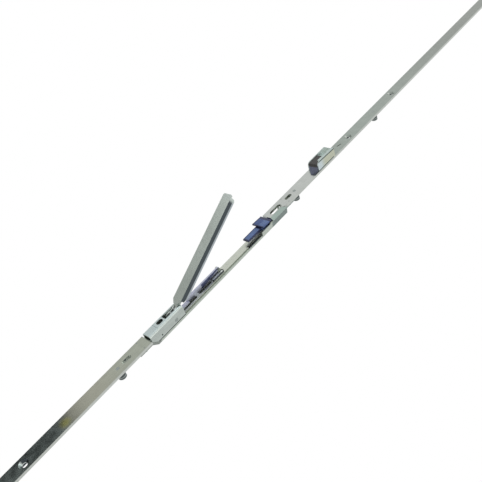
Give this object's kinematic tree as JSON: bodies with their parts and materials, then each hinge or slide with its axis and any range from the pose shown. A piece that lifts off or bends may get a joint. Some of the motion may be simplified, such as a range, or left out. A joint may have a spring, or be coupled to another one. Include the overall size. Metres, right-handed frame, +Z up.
{
  "type": "cremone bolt",
  "caption": "Lever-driven cremone bolt: a long faceplate strip with a swing-out lever, a snap catch, a keep and rods that push a bolt out of each end.",
  "frame": {"origin": "on the back of the strip, midway between the outer two fixing holes", "axes": "+Z up the strip, +X across its width, +Y into the sash"},
  "size_m": [0.016, 0.0774, 1.102],
  "materials": {
    "zinc_plate": "satin zinc plating",
    "bright_zinc": "bright zinc plating",
    "link_zinc": "bluish zinc plating",
    "dark_steel": "plain steel",
    "blue_plastic": "moulded",
    "black_plastic": "moulded"
  },
  "bodies": {
    "base": {"lower_faceplate": "zinc_plate", "upper_faceplate": "zinc_plate", "tray": "bright_zinc", "housing": "bright_zinc", "lever_pins": "bright_zinc", "upper_guide": "dark_steel", "upper_guide_rivets": "bright_zinc", "lower_guide": "dark_steel", "lower_guide_rivets": "bright_zinc", "pinion_axle": "bright_zinc", "lower_stud": "bright_zinc", "middle_stud": "bright_zinc", "upper_stud": "bright_zinc", "lower_ear_rivets": "bright_zinc", "upper_ear_rivets": "bright_zinc", "keep_bracket": "bright_zinc", "keep_insert": "black_plastic", "keep_rivets": "bright_zinc", "catch_pin": "dark_steel"},
    "lever": {"lever": "zinc_plate", "crank_pin": "dark_steel"},
    "upper_drive": {"yoke_arm": "link_zinc", "yoke_pin": "bright_zinc", "upper_bar": "bright_zinc", "upper_lap_rivet": "dark_steel", "upper_rod": "zinc_plate", "upper_bolt": "bright_zinc", "upper_bolt_rivet": "dark_steel"},
    "lower_drive": {"lower_bar": "bright_zinc", "lower_lap_rivet": "dark_steel", "lower_rod": "zinc_plate", "lower_bolt": "bright_zinc", "lower_bolt_rivet": "dark_steel"},
    "pinion": {"reversing_pinion": "dark_steel"},
    "catch": {"catch": "blue_plastic"}
  },
  "joints": [
    {"name": "lever_swing", "type": "hinge", "parent": "base", "child": "lever", "pos_m": [0, 0.0015, -0.133], "axis": [1, 0, 0], "range_deg": [-27, 83]},
    {"name": "upper_slide", "type": "slide", "parent": "base", "child": "upper_drive", "axis": [0, 0, 1], "range_m": [-0.0079, 0.0026]},
    {"name": "lower_slide", "type": "slide", "parent": "base", "child": "lower_drive", "axis": [0, 0, 1], "range_m": [-0.0026, 0.0079]},
    {"name": "pinion_spin", "type": "hinge", "parent": "base", "child": "pinion", "pos_m": [0, 0.003, -0.154], "axis": [0, 1, 0], "range_deg": [-190, 64]},
    {"name": "catch_press", "type": "hinge", "parent": "base", "child": "catch", "pos_m": [0, 0.0019, 0.034], "axis": [1, 0, 0], "range_deg": [0, 3], "stiffness_Nm_per_rad": 0.5, "springref_deg": -2.86}
  ],
  "couplings": [
    {"joint": "upper_slide", "follows": "lever_swing", "m_per_rad": -0.0054},
    {"joint": "lower_slide", "follows": "lever_swing", "m_per_rad": 0.0054},
    {"joint": "pinion_spin", "follows": "lever_swing", "ratio": -2.25}
  ]
}
